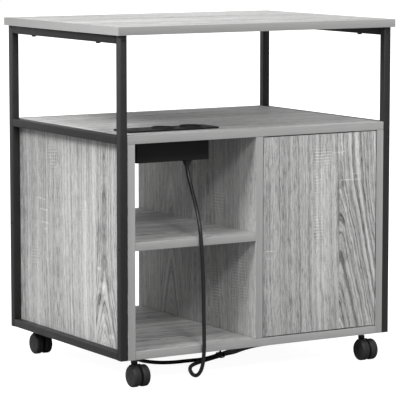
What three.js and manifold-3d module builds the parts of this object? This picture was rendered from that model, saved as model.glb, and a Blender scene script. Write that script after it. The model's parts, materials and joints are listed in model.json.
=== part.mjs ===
// Mobile printer stand: two square-tube side frames, melamine boards, a charging station let into
// the middle board, one open compartment, one compartment with a push-to-open door, four casters.
// Millimetres, +Z up. The origin is on the floor under the centre of the tabletop, and the front
// of the stand faces -Y.
import * as THREE from 'three';
import { mergeVertices } from 'three/addons/utils/BufferGeometryUtils.js';
import Module from 'manifold-3d';

const wasm = await Module();
wasm.setup();
const { Manifold, Mesh: SolidMesh } = wasm;

// ---------------------------------------------------------------- driving sizes
const GAP = 0.3; // air left between two pieces that touch

const TABLE = { width: 600, depth: 450, top: 652 };
const BOARD = 15;
const OVERHANG = 6; // tabletop past the side frames, all round
const FRAME_FOOT = 52; // underside of the frames, which is the caster height
const TUBE = 15;
const TUBE_WALL = 1.2;
const TUBE_CORNER = 2;
const MIDDLE_TOP = 458; // upper face of the middle board
const SHELF_TOP = 265;

const DOOR = { sideGap: 1.2, hingeGap: 2.5, topGap: 2, axisInset: 5.5 };
const LEAF = { length: 46, width: 8, thickness: 1.6, pin: 2 };
const LATCH = { width: 18, height: 13, length: 60, plunger: 4, reach: 3.5 };

const STATION = { left: -232, right: -79, front: -169, back: -122, bottom: 401.5, wall: 2 };
const PLATE = { left: -251, right: -60, front: -175, back: -116, thickness: 3, corner: 3 };
const SOCKET = { x: [-164, -104], outer: 21.2, inner: 19.5, proud: 2.5, depth: 17 };
const USB = { x: -208, width: 34, depth: 20, height: 13 };
const GLAND = { x: -119.5, y: -158, wide: 8.5, narrow: 5, length: 9, sleeve: 2 };

const CORD = 7.2; // diameter
const CORD_FLOOR = CORD / 2 + 0.3;

const CASTER = { x: 251, y: 191, trail: 14, wheel: 20, facets: 28, halfGap: 1.9, width: 15.2 };
const AXLE = 2.5;
const STEM = { neck: 4.8, insert: 3.9, pin: 3 };

const SCREW = { fromEnd: 93, head: 4.5, headHeight: 2.5, shank: 1.75 };

// ---------------------------------------------------------------- sizes that follow
const FRAME = { x: TABLE.width / 2 - OVERHANG, y: TABLE.depth / 2 - OVERHANG };
const TABLE_UNDER = TABLE.top - BOARD;
const FRAME_TOP = TABLE_UNDER - GAP;
const MIDDLE_UNDER = MIDDLE_TOP - BOARD;
const POST = { x: FRAME.x - TUBE / 2, y: FRAME.y - TUBE / 2 };
const PANEL_OUT = FRAME.x - TUBE - GAP; // outer face of a side panel
const PANEL_IN = PANEL_OUT - BOARD;
const FLOOR_TOP = FRAME_FOOT + BOARD; // upper face of the bottom panel
const SIDES = [['left', -1], ['right', 1]];
const ENDS = [['front', -1], ['rear', 1]];

// ---------------------------------------------------------------- materials
const paint = (color, roughness, metalness) => ({ color, roughness, metalness });
const WOOD_TOP = paint(0xb9b9b9, 0.55, 0);
const WOOD = paint(0x9b9b9b, 0.6, 0);
const WOOD_INSIDE = paint(0x8a8a8a, 0.6, 0);
const STEEL_BLACK = paint(0x2b2b2b, 0.5, 0.3);
const PLASTIC_BLACK = paint(0x1a1a1a, 0.5, 0);
const PLASTIC_SOFT = paint(0x232323, 0.6, 0);
const RUBBER_CORD = paint(0x0d0d0d, 0.35, 0);
const STEEL_BRIGHT = paint(0xb8b8b8, 0.35, 0.9);
const CIRCUIT = paint(0x1f4a2c, 0.6, 0);
const NYLON_GREY = paint(0x6f6f6f, 0.5, 0);

const group = new THREE.Group();
group.name = 'mobile_printer_stand';

function add(name, geometry, look) {
  const mesh = new THREE.Mesh(geometry, new THREE.MeshStandardMaterial(look));
  mesh.name = name;
  group.add(mesh);
  return mesh;
}

// ---------------------------------------------------------------- solids
const span = (low, high) => ({ size: high - low, mid: (high + low) / 2 });

// A box from its lowest corner to its highest.
function box(x0, x1, y0, y1, z0, z1) {
  const [x, y, z] = [span(x0, x1), span(y0, y1), span(z0, z1)];
  return new THREE.BoxGeometry(x.size, y.size, z.size).translate(x.mid, y.mid, z.mid);
}

function rod(radius, z0, z1, x, y, sides = 24) {
  const z = span(z0, z1);
  return new THREE.CylinderGeometry(radius, radius, z.size, sides)
    .rotateX(Math.PI / 2)
    .translate(x, y, z.mid);
}

function solid(geometry) {
  const bare = new THREE.BufferGeometry();
  bare.setAttribute('position', geometry.getAttribute('position'));
  bare.setIndex(geometry.getIndex());
  const merged = mergeVertices(bare, 1e-4);
  return new Manifold(
    new SolidMesh({
      numProp: 3,
      vertProperties: new Float32Array(merged.getAttribute('position').array),
      triVerts: new Uint32Array(merged.getIndex().array),
    }),
  );
}

function geometryOf(manifold) {
  const mesh = manifold.getMesh();
  const geometry = new THREE.BufferGeometry();
  geometry.setAttribute('position', new THREE.BufferAttribute(mesh.vertProperties, 3));
  geometry.setIndex(new THREE.BufferAttribute(mesh.triVerts, 1));
  const flat = geometry.toNonIndexed();
  flat.computeVertexNormals();
  return flat;
}

const cut = (body, ...tools) =>
  geometryOf(tools.reduce((left, tool) => left.subtract(solid(tool)), solid(body)));

const join = (...parts) =>
  parts.slice(1).reduce((sum, part) => sum.add(solid(part)), solid(parts[0]));

function roundedRectangle(width, depth, corner) {
  const [w, d] = [width / 2, depth / 2];
  const shape = new THREE.Shape();
  shape.moveTo(-w + corner, -d);
  shape.lineTo(w - corner, -d);
  shape.absarc(w - corner, -d + corner, corner, -Math.PI / 2, 0);
  shape.lineTo(w, d - corner);
  shape.absarc(w - corner, d - corner, corner, 0, Math.PI / 2);
  shape.lineTo(-w + corner, d);
  shape.absarc(-w + corner, d - corner, corner, Math.PI / 2, Math.PI);
  shape.lineTo(-w, -d + corner);
  shape.absarc(-w + corner, -d + corner, corner, Math.PI, Math.PI * 1.5);
  return shape;
}

// A square tube of the given length, along Z, centred on the origin.
function tube(length) {
  const section = roundedRectangle(TUBE, TUBE, TUBE_CORNER);
  const bore = TUBE - 2 * TUBE_WALL;
  section.holes.push(roundedRectangle(bore, bore, TUBE_CORNER - TUBE_WALL));
  return new THREE.ExtrudeGeometry(section, {
    depth: length,
    bevelEnabled: false,
    curveSegments: 3,
  }).translate(0, 0, -length / 2);
}

// A body turned about Z from [radius, height] points.
function turned(points, sides = 24, start = 0) {
  const profile = points.map(([r, z]) => new THREE.Vector2(r, z));
  return new THREE.LatheGeometry(profile, sides, start).rotateX(Math.PI / 2);
}

// ---------------------------------------------------------------- side frames
const post = span(FRAME_FOOT, FRAME_TOP);
const RAILS = [
  ['top', FRAME_TOP - TUBE / 2],
  ['middle', MIDDLE_TOP - GAP - TUBE / 2],
  ['bottom', FRAME_FOOT + TUBE / 2],
];
const railLength = 2 * (FRAME.y - TUBE - GAP);
const screwY = FRAME.y - SCREW.fromEnd;

for (const [side, sx] of SIDES) {
  for (const [end, sy] of ENDS) {
    const upright = tube(post.size).translate(sx * POST.x, sy * POST.y, post.mid);
    add(`${side}_${end}_post`, upright, STEEL_BLACK);
  }
  for (const [level, z] of RAILS) {
    let rail = tube(railLength).rotateX(Math.PI / 2).translate(sx * POST.x, 0, z);
    if (level === 'top') {
      const holes = ENDS.map(([, sy]) =>
        rod(SCREW.shank + 0.4, z - TUBE, z + TUBE, sx * POST.x, sy * screwY, 12),
      );
      rail = cut(rail, ...holes);
    }
    add(`${side}_${level}_rail`, rail, STEEL_BLACK);
  }
}

// ---------------------------------------------------------------- boards
const screwTip = TABLE_UNDER + 10;
const screwSpots = SIDES.flatMap(([side, sx]) =>
  ENDS.map(([end, sy]) => ({ name: `${side}_${end}`, x: sx * POST.x, y: sy * screwY })),
);

add(
  'tabletop',
  cut(
    box(-TABLE.width / 2, TABLE.width / 2, -TABLE.depth / 2, TABLE.depth / 2, TABLE_UNDER, TABLE.top),
    ...screwSpots.map(({ x, y }) => rod(SCREW.shank + 0.2, TABLE_UNDER - 1, screwTip + 1, x, y, 12)),
  ),
  WOOD_TOP,
);

for (const { name, x, y } of screwSpots) {
  const head = FRAME_TOP - TUBE - GAP;
  const profile = [
    [0, head - SCREW.headHeight],
    [SCREW.head * 0.7, head - SCREW.headHeight],
    [SCREW.head, head - SCREW.headHeight * 0.5],
    [SCREW.head, head],
    [SCREW.shank, head],
    [SCREW.shank, screwTip - 2],
    [0, screwTip],
  ];
  add(`${name}_tabletop_screw`, turned(profile, 12).translate(x, y, 0), STEEL_BLACK);
}

// The pivot line of the door, near its front right corner.
const doorLeft = BOARD / 2 + DOOR.sideGap;
const doorRight = PANEL_IN - DOOR.hingeGap;
const doorBottom = FLOOR_TOP + DOOR.topGap;
const doorTop = MIDDLE_UNDER - DOOR.topGap;
const pivot = { x: doorRight - DOOR.axisInset, y: -FRAME.y + DOOR.axisInset };

// A thin plate lying along the board's front edge, from the pivot towards the middle of the door.
function leafPlate(z0, z1, grow = 0) {
  const half = LEAF.width / 2 + grow;
  const right = pivot.x + LEAF.width / 2 + grow;
  const front = pivot.y - half;
  return box(right - LEAF.length - 2 * grow, right, front, front + 2 * half, z0, z1);
}

const cabinetLeafDeep = LEAF.thickness - 0.6; // how far a carcass leaf is let into its board
const holdDown = GAP; // air under a leaf in its pocket

const stationHole = box(
  STATION.left - 0.5,
  STATION.right + 0.5,
  STATION.front - 0.5,
  STATION.back + 0.5,
  MIDDLE_UNDER - 1,
  MIDDLE_TOP + 1,
);
add(
  'middle_top',
  cut(
    box(-PANEL_OUT, PANEL_OUT, -FRAME.y, FRAME.y, MIDDLE_UNDER, MIDDLE_TOP),
    stationHole,
    leafPlate(MIDDLE_UNDER - 1, MIDDLE_UNDER + cabinetLeafDeep + holdDown, GAP),
  ),
  WOOD_TOP,
);

for (const [side, sx] of SIDES) {
  const [x0, x1] = sx < 0 ? [-PANEL_OUT, -PANEL_IN] : [PANEL_IN, PANEL_OUT];
  const panel = box(x0, x1, -FRAME.y, FRAME.y, FRAME_FOOT, MIDDLE_UNDER - GAP);
  add(`${side}_side_panel`, panel, WOOD);
}

const casterSpots = ENDS.flatMap(([end, sy]) =>
  SIDES.map(([side, sx]) => ({ name: `${end}_${side}`, x: sx * CASTER.x, y: sy * CASTER.y })),
);
const stemTop = FRAME_FOOT + 11;
add(
  'bottom_panel',
  cut(
    box(-PANEL_IN + GAP, PANEL_IN - GAP, -FRAME.y, FRAME.y, FRAME_FOOT, FLOOR_TOP),
    leafPlate(FLOOR_TOP - cabinetLeafDeep - holdDown, FLOOR_TOP + 1, GAP),
    ...casterSpots.map(({ x, y }) => rod(STEM.insert + 0.3, FRAME_FOOT - 1, stemTop + GAP, x, y, 20)),
  ),
  WOOD,
);

const underMiddle = MIDDLE_UNDER - GAP;
const overFloor = FLOOR_TOP + GAP;
add('divider', box(-BOARD / 2, BOARD / 2, -FRAME.y, FRAME.y, overFloor, underMiddle), WOOD_INSIDE);
add(
  'left_shelf',
  box(-PANEL_IN + GAP, -BOARD / 2 - GAP, -FRAME.y, FRAME.y, SHELF_TOP - BOARD, SHELF_TOP),
  WOOD_INSIDE,
);
add(
  'right_back_panel',
  box(BOARD / 2 + GAP, PANEL_IN - GAP, FRAME.y - BOARD, FRAME.y, overFloor, underMiddle),
  WOOD_INSIDE,
);

// ---------------------------------------------------------------- door and its hardware
const doorBack = -FRAME.y + BOARD;
const pocket = LEAF.thickness + holdDown - 0.3; // depth of a door leaf's pocket
const pinHole = LEAF.pin + 0.4;
add(
  'door',
  cut(
    box(doorLeft, doorRight, -FRAME.y, doorBack, doorBottom, doorTop),
    leafPlate(doorTop - pocket, doorTop + 1, GAP),
    leafPlate(doorBottom - 1, doorBottom + pocket, GAP),
    rod(pinHole, doorTop - pocket - 5, doorTop, pivot.x, pivot.y, 16),
    rod(pinHole, doorBottom, doorBottom + pocket + 5, pivot.x, pivot.y, 16),
  ),
  WOOD,
);

// Each end of the door has a leaf in its edge, turning on the pin of a leaf let into the carcass.
for (const [end, doorEdge, carcass, up] of [
  ['top', doorTop, MIDDLE_UNDER, 1],
  ['bottom', doorBottom, FLOOR_TOP, -1],
]) {
  const inner = [doorEdge - up * (pocket - holdDown), doorEdge + up * (LEAF.thickness - pocket + holdDown)];
  const outer = [carcass + up * cabinetLeafDeep, carcass - up * (LEAF.thickness - cabinetLeafDeep)];
  const sorted = (pair) => [...pair].sort((a, b) => a - b);
  const pin = sorted([outer[0], doorEdge - up * (pocket + 4)]);
  add(
    `door_${end}_hinge_leaf`,
    cut(
      leafPlate(...sorted(inner)),
      rod(LEAF.pin + 0.15, inner[0] - 5, inner[0] + 5, pivot.x, pivot.y, 24),
    ),
    STEEL_BRIGHT,
  );
  add(
    `carcass_${end}_hinge_leaf`,
    geometryOf(join(leafPlate(...sorted(outer)), rod(LEAF.pin, ...pin, pivot.x, pivot.y, 24))),
    STEEL_BRIGHT,
  );
}

const latch = { x: doorLeft + 4 + LATCH.width / 2, z: underMiddle - LATCH.height / 2 };
const latchFront = doorBack + LATCH.reach;
const strikeFace = doorBack + GAP + 0.8;
const latchRod = (radius, y0, y1, sides) => {
  const y = span(y0, y1);
  return new THREE.CylinderGeometry(radius, radius, y.size, sides).translate(latch.x, y.mid, latch.z);
};
add(
  'push_latch_housing',
  cut(
    box(
      latch.x - LATCH.width / 2,
      latch.x + LATCH.width / 2,
      latchFront,
      latchFront + LATCH.length,
      underMiddle - LATCH.height,
      underMiddle,
    ),
    latchRod(LATCH.plunger + 0.3, latchFront - 1, latchFront + 45, 20),
  ),
  NYLON_GREY,
);
add('push_latch_plunger', latchRod(LATCH.plunger, strikeFace + GAP, latchFront + 38, 20), NYLON_GREY);
add('push_latch_strike', latchRod(6.5, doorBack + GAP, strikeFace, 24), STEEL_BRIGHT);

// ---------------------------------------------------------------- charging station
const plateBottom = MIDDLE_TOP + GAP;
const plateTop = plateBottom + PLATE.thickness;
const rimTop = plateTop + SOCKET.proud;
const stationY = (STATION.front + STATION.back) / 2;
const plateX = span(PLATE.left, PLATE.right);
const plateY = span(PLATE.front, PLATE.back);

add(
  'charging_station_housing',
  cut(
    box(STATION.left, STATION.right, STATION.front, STATION.back, STATION.bottom, MIDDLE_TOP),
    box(
      STATION.left + STATION.wall,
      STATION.right - STATION.wall,
      STATION.front + STATION.wall,
      STATION.back - STATION.wall,
      STATION.bottom + STATION.wall,
      MIDDLE_TOP + 1,
    ),
  ),
  PLASTIC_BLACK,
);

const plateBlank = new THREE.ExtrudeGeometry(
  roundedRectangle(plateX.size, plateY.size, PLATE.corner),
  { depth: PLATE.thickness, bevelEnabled: false, curveSegments: 4 },
).translate(plateX.mid, plateY.mid, plateBottom);
add(
  'charging_station_plate',
  cut(
    plateBlank,
    ...SOCKET.x.map((x) => rod(SOCKET.outer + GAP, plateBottom - 1, plateTop + 1, x, stationY, 40)),
    box(
      USB.x - USB.width / 2 - GAP,
      USB.x + USB.width / 2 + GAP,
      stationY - USB.depth / 2 - GAP,
      stationY + USB.depth / 2 + GAP,
      plateBottom - 1,
      plateTop + 1,
    ),
  ),
  PLASTIC_BLACK,
);

SOCKET.x.forEach((x, i) => {
  const floor = rimTop - SOCKET.depth;
  const profile = [
    [0, floor - 2.5],
    [SOCKET.outer, floor - 2.5],
    [SOCKET.outer, rimTop - 0.6],
    [SOCKET.outer - 0.6, rimTop],
    [SOCKET.inner + 0.4, rimTop],
    [SOCKET.inner, rimTop - 0.4],
    [SOCKET.inner, floor],
    [0, floor],
  ];
  const pins = [-9.5, 9.5].map((dx) => rod(2.6, floor - 4, floor + 1, x + dx, stationY, 16));
  const cup = turned(profile, 40).translate(x, stationY, 0);
  add(`mains_socket_${i + 1}`, cut(cup, ...pins), PLASTIC_SOFT);
});

const usbPort = (dx) =>
  box(USB.x + dx - 6.5, USB.x + dx + 6.5, stationY - 2.6, stationY + 2.6, plateTop - 11, plateTop + 1);
add(
  'usb_port_insert',
  cut(
    box(
      USB.x - USB.width / 2,
      USB.x + USB.width / 2,
      stationY - USB.depth / 2,
      stationY + USB.depth / 2,
      plateTop - USB.height,
      plateTop,
    ),
    usbPort(-8),
    usbPort(8),
  ),
  PLASTIC_SOFT,
);

const boardZ = STATION.bottom + STATION.wall + GAP;
add(
  'usb_charger_board',
  geometryOf(
    join(
      box(-226, -150, stationY - 17, stationY + 17, boardZ, boardZ + 1.6),
      box(-190, -168, stationY - 9, stationY + 9, boardZ + 1.6, boardZ + 18),
      box(-218, -204, stationY - 8, stationY + 8, boardZ + 1.6, boardZ + 9),
    ),
  ),
  CIRCUIT,
);

const glandTop = STATION.bottom - GAP;
const glandDome = glandTop - GLAND.length;
const glandTip = glandDome - GLAND.sleeve;
add(
  'cord_gland',
  turned([
    [0, glandTip],
    [GLAND.narrow - 0.7, glandTip],
    [GLAND.narrow, glandDome],
    [GLAND.narrow + 1.9, glandDome + 2.6],
    [GLAND.wide - 0.6, glandDome + 5.6],
    [GLAND.wide, glandTop - 1.2],
    [GLAND.wide, glandTop],
    [0, glandTop],
  ]).translate(GLAND.x, GLAND.y, 0),
  PLASTIC_SOFT,
);

// ---------------------------------------------------------------- mains cord
// The cord leaves the gland, hangs in front of the shelf and the bottom panel, reaches the floor
// and lies under the cabinet, folded once and tied, with its plug behind the front left caster.
const TIE = { x: 20, y: -49, z: 6.5, angle: THREE.MathUtils.degToRad(29), spread: 4, length: 4.5 };
// A point on a strand at the tie: s along the strands, t across them.
const atTie = (s, t) => [
  TIE.x + s * Math.cos(TIE.angle) - t * Math.sin(TIE.angle),
  TIE.y + s * Math.sin(TIE.angle) + t * Math.cos(TIE.angle),
  TIE.z,
];
// The fold at the far end is a turn of this radius round (x, y).
const FOLD = { x: 186, y: 58, radius: 39 };
const onFold = (degrees) => [
  FOLD.x + FOLD.radius * Math.cos(THREE.MathUtils.degToRad(degrees)),
  FOLD.y + FOLD.radius * Math.sin(THREE.MathUtils.degToRad(degrees)),
  CORD_FLOOR,
];
const PLUG = { x: -130, y: 98, z: 18.8, radius: 18, body: 30, sleeve: 24 };
const cordPoints = [
  [GLAND.x, GLAND.y, glandTip - GAP],
  [-119.4, -158.6, 380.5],
  [-119, -164.5, 367],
  [-120.2, -183, 336],
  [-127.2, -214, 295],
  [-129.3, -225, 256],
  [-127.6, -227.1, 214],
  [-125.2, -227.1, 130],
  [-124.9, -226.6, 44],
  [-125, -219.5, 20.5],
  [-124.5, -204.5, 6.6],
  [-121, -184, CORD_FLOOR],
  [-110.5, -157, CORD_FLOOR],
  [-95.5, -128, CORD_FLOOR],
  [-76, -101, CORD_FLOOR],
  [-46, -80, CORD_FLOOR],
  atTie(-14, -TIE.spread),
  atTie(14, -TIE.spread),
  [62, -29, CORD_FLOOR],
  [104, -4, CORD_FLOOR],
  [148, 13, CORD_FLOOR],
  onFold(-82),
  onFold(-36),
  onFold(10),
  onFold(56),
  onFold(102),
  [146, 77, CORD_FLOOR],
  [122, 39, CORD_FLOOR],
  [89, 3, CORD_FLOOR],
  atTie(14, TIE.spread),
  atTie(-14, TIE.spread),
  [-24, -59, CORD_FLOOR],
  [-56, -56, CORD_FLOOR],
  [-88, -56, CORD_FLOOR],
  [-115, -44, CORD_FLOOR],
  [-130, -18, CORD_FLOOR],
  [-135, 12, 4.9],
  [-133.6, 36, 11.4],
  [-130.5, 57, 18.2],
  [PLUG.x, PLUG.y - PLUG.sleeve - GAP, PLUG.z],
];
const cordCurve = new THREE.CatmullRomCurve3(
  cordPoints.map((p) => new THREE.Vector3(...p)),
  false,
  'centripetal',
);
const cordSection = new THREE.Shape().absarc(0, 0, CORD / 2, 0, 2 * Math.PI);
add(
  'mains_cord',
  new THREE.ExtrudeGeometry(cordSection, {
    steps: 80,
    curveSegments: 4,
    bevelEnabled: false,
    extrudePath: cordCurve,
  }),
  RUBBER_CORD,
);

// A flat band round both strands, with its twisted tail standing up.
function band(halfWidth, halfHeight, length) {
  const section = roundedRectangle(2 * halfWidth, 2 * halfHeight, halfHeight - 0.01);
  return new THREE.ExtrudeGeometry(section, { depth: length, bevelEnabled: false, curveSegments: 6 })
    .translate(0, 0, -length / 2)
    .rotateX(Math.PI / 2)
    .rotateZ(Math.PI / 2);
}
const inside = { width: TIE.spread + CORD / 2 + 1, height: CORD / 2 + 0.9 };
const tieBand = solid(band(inside.width + 1.1, inside.height + 1.1, TIE.length))
  .subtract(solid(band(inside.width, inside.height, TIE.length + 4)))
  .add(solid(box(-1.6, 1.6, -1.2, 1.2, inside.height + 0.4, inside.height + 9)));
add(
  'cord_tie',
  geometryOf(tieBand).rotateZ(TIE.angle).translate(TIE.x, TIE.y, TIE.z),
  PLASTIC_BLACK,
);

const plugProfile = [
  [0, 0],
  [4.6, 0],
  [6.2, PLUG.sleeve - 4],
  [11, PLUG.sleeve],
  [PLUG.radius, PLUG.sleeve + 5],
  [PLUG.radius, PLUG.sleeve + PLUG.body],
  [0, PLUG.sleeve + PLUG.body],
];
const plugPins = [-9.5, 9.5].map((x) => rod(2.4, PLUG.sleeve + 10, PLUG.sleeve + PLUG.body + 19, x, 0, 12));
add(
  'mains_plug',
  geometryOf(join(turned(plugProfile, 28, Math.PI / 28), ...plugPins))
    .rotateX(-Math.PI / 2)
    .translate(PLUG.x, PLUG.y - PLUG.sleeve, PLUG.z),
  PLASTIC_SOFT,
);

// ---------------------------------------------------------------- casters
const neckTop = FRAME_FOOT - GAP;
const bossTop = 44.9;
const bossFoot = 38.9;
const stemProfile = [
  [0, bossTop - 4.4],
  [STEM.pin, bossTop - 4.4],
  [STEM.pin, bossTop + GAP],
  [STEM.neck, bossTop + GAP],
  [STEM.neck, neckTop],
  [STEM.insert, neckTop],
  [STEM.insert, stemTop],
  [0, stemTop],
];

// The profile of a wheel: radius against distance from the caster's middle plane.
const w0 = CASTER.halfGap;
const rim = CASTER.wheel / Math.cos(Math.PI / CASTER.facets);
const wheelProfile = [
  [0, w0 + 9.3],
  [AXLE + 0.1, w0 + 9.3],
  [AXLE + 0.1, w0],
  [16.4, w0],
  [19, w0 + 1.2],
  [rim, w0 + 3.4],
  [rim, w0 + 11.6],
  [19.4, w0 + 13.4],
  [17.8, w0 + 14.4],
  [12.5, w0 + 14.9],
  [6, w0 + CASTER.width - 0.1],
  [0, w0 + CASTER.width],
];

// The middle plane of a caster is YZ here, and its axle lies on the X axis.
const FENDER = { inner: 20.7, outer: 22.3, from: 10, to: 60, half: 11 };
function sideSlab(shape, half) {
  return new THREE.ExtrudeGeometry(shape, { depth: 2 * half, bevelEnabled: false, curveSegments: 10 })
    .translate(0, 0, -half)
    .rotateY(Math.PI / 2)
    .rotateX(Math.PI / 2);
}
function hoodShell() {
  const rad = THREE.MathUtils.degToRad;
  const web = new THREE.Shape();
  web.absarc(0, 0, 9, Math.PI * 0.78, Math.PI * 1.9);
  web.lineTo(FENDER.outer * Math.cos(rad(12)), FENDER.outer * Math.sin(rad(12)));
  web.lineTo(CASTER.trail + 6, bossFoot - CASTER.wheel + 2);
  web.lineTo(CASTER.trail - 6, bossFoot - CASTER.wheel + 2);
  const fender = new THREE.Shape();
  fender.absarc(0, 0, FENDER.outer, rad(FENDER.from), rad(FENDER.to));
  fender.absarc(0, 0, FENDER.inner, rad(FENDER.to), rad(FENDER.from), true);
  const boss = rod(6.2, bossFoot - CASTER.wheel, bossTop - CASTER.wheel, 0, CASTER.trail, 20);
  const pinBore = rod(
    STEM.pin + 0.12,
    bossTop - CASTER.wheel - 4.7,
    bossTop - CASTER.wheel + 1,
    0,
    CASTER.trail,
    20,
  );
  const axleBore = new THREE.CylinderGeometry(AXLE + 0.25, AXLE + 0.25, 20, 20).rotateZ(Math.PI / 2);
  const shell = join(sideSlab(web, w0 - 0.35), sideSlab(fender, FENDER.half), boss);
  return geometryOf(shell.subtract(solid(pinBore)).subtract(solid(axleBore)));
}

for (const { name, x, y } of casterSpots) {
  const axle = { y: y - CASTER.trail, z: CASTER.wheel };
  add(`${name}_caster_stem`, turned(stemProfile, 20).translate(x, y, 0), STEEL_BLACK);
  add(`${name}_caster_hood`, hoodShell().translate(x, axle.y, axle.z), PLASTIC_SOFT);
  const axleHalf = w0 + 8.8;
  const pin = new THREE.CylinderGeometry(AXLE, AXLE, 2 * axleHalf, 16).rotateZ(Math.PI / 2);
  add(`${name}_caster_axle`, pin.translate(x, axle.y, axle.z), STEEL_BRIGHT);
  for (const [side, sx] of SIDES) {
    const wheel = turned(wheelProfile, CASTER.facets, Math.PI / CASTER.facets)
      .rotateY((sx * Math.PI) / 2)
      .translate(x, axle.y, axle.z);
    add(`${name}_caster_${side}_wheel`, wheel, PLASTIC_SOFT);
  }
}

export default group;
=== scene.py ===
import json
import math

import bmesh
import bpy
from mathutils import Matrix, Vector

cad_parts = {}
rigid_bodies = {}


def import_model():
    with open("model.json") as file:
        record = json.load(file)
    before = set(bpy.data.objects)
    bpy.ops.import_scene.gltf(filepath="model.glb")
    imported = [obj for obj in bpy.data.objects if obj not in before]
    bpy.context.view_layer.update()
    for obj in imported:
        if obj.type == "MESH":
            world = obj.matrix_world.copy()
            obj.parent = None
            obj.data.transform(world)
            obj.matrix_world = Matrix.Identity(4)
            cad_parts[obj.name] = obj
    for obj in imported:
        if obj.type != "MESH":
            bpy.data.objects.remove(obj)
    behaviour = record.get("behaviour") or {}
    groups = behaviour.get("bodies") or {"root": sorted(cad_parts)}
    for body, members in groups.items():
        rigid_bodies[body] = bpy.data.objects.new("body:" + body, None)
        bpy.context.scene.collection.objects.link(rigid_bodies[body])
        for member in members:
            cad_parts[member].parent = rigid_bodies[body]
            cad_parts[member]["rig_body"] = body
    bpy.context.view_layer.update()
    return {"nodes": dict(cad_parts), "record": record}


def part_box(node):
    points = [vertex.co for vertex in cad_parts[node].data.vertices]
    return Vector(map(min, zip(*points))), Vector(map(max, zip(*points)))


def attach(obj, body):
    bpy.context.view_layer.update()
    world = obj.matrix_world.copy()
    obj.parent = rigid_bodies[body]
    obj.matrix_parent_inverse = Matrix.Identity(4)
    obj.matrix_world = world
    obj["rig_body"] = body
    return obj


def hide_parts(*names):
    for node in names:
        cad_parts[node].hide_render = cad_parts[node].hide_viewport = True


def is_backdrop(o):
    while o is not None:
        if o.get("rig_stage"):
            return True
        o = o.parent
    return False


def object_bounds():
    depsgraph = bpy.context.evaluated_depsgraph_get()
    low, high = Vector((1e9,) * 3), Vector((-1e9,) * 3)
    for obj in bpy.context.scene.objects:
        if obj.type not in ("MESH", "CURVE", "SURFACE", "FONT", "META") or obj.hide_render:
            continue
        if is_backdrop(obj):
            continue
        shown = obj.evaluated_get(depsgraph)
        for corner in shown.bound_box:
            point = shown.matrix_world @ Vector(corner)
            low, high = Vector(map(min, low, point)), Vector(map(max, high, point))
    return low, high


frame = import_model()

MM = 0.001

# ------------------------------------------------------------------ camera
# The camera stands to the front left, higher than the tabletop, and looks slightly down.
YAW, PITCH = math.radians(31.168), math.radians(-7.018)
camera_data = bpy.data.cameras.new("camera")
camera_data.lens = 215.5
camera_data.sensor_width = 36.0
camera_data.clip_end = 60.0
camera = bpy.data.objects.new("camera", camera_data)
camera.location = (-2.3619, -3.9116, 0.8654)
camera.rotation_euler = (math.pi / 2 + PITCH, 0.0, -YAW)
bpy.context.scene.collection.objects.link(camera)
bpy.context.scene.camera = camera
bpy.context.scene.view_settings.view_transform = "Standard"


def read_slots(entry):
    if isinstance(entry, dict):
        for value in entry.values():
            read_slots(value)
    elif isinstance(entry, list):
        for value in entry:
            read_slots(value)


read_slots(frame["record"])


def body_of(node):
    return frame["nodes"][node]["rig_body"]


def centre(node):
    low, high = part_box(node)
    return (low + high) / 2


def ride_as(obj, node):
    """The piece moves with the node's body and takes the node's place; the node is hidden."""
    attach(obj, body_of(node))
    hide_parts(node)
    return obj


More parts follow.
